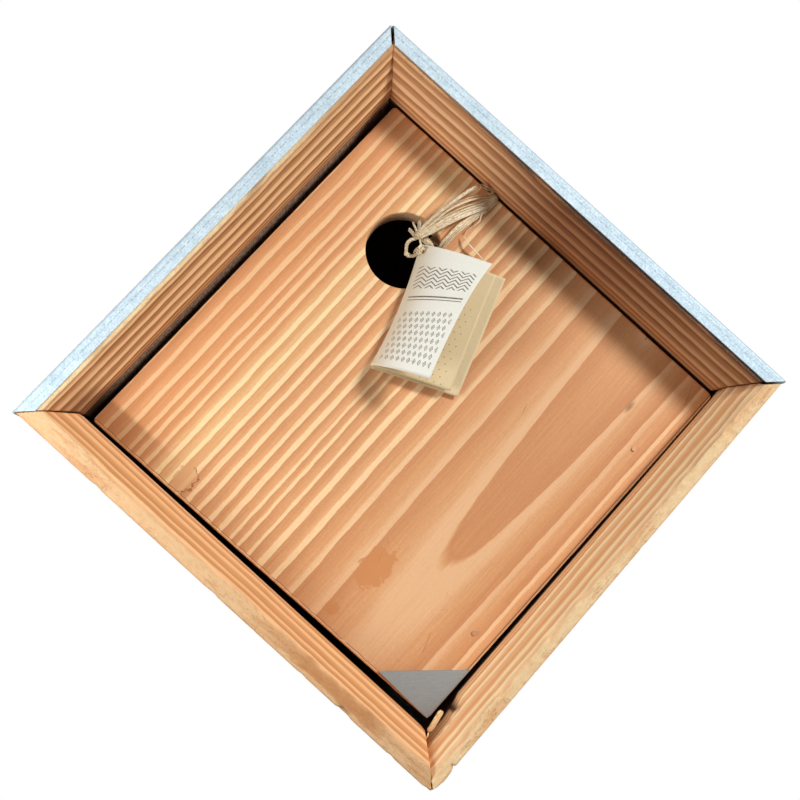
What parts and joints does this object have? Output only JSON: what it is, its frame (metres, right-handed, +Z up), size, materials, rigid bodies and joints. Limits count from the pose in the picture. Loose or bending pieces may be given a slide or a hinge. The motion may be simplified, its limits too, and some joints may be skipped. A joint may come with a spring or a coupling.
{
  "type": "nest box",
  "caption": "Square timber nest box hung corner up, with mitred bevelled boards, recessed front panel with round entrance, folded sheet roof and a swing tag tied with raffia.",
  "frame": {"origin": "centre of the back face, on the wall side", "axes": "+X right seen from the front, +Y towards the wall, +Z up; the entrance faces -Y"},
  "size_m": [0.302, 0.1607, 0.3],
  "materials": {
    "board_wood": "sawn softwood, left bare",
    "panel_wood": "planed softwood with flame grain",
    "batten_wood": "sawn softwood",
    "roof_metal": "dull spangled zinc coating",
    "plate_metal": "brushed, blank",
    "fixing_metal": "bright wire nails",
    "card": "coated card",
    "card_inner": "uncoated card",
    "raffia": "dry fibre strands"
  },
  "bodies": {
    "root": {"upper_left_board": "board_wood", "upper_right_board": "board_wood", "lower_left_board": "board_wood", "lower_right_board": "board_wood", "roof_sheet": "roof_metal", "roof_tacks": "fixing_metal", "front_panel": "panel_wood", "panel_batten": "batten_wood", "panel_brads": "fixing_metal", "batten_brads": "fixing_metal", "corner_plate": "plate_metal", "back_panel": "batten_wood", "back_brads": "fixing_metal", "tag_cover": "card", "tag_leaf": "card_inner", "tag_back_leaf": "card_inner", "tag_loop": "raffia", "tie_knot": "raffia", "raffia_front_run": "raffia", "raffia_back_run": "raffia", "raffia_tails": "raffia", "raffia_loose_strand": "raffia", "raffia_arc_strand": "raffia"}
  },
  "joints": []
}
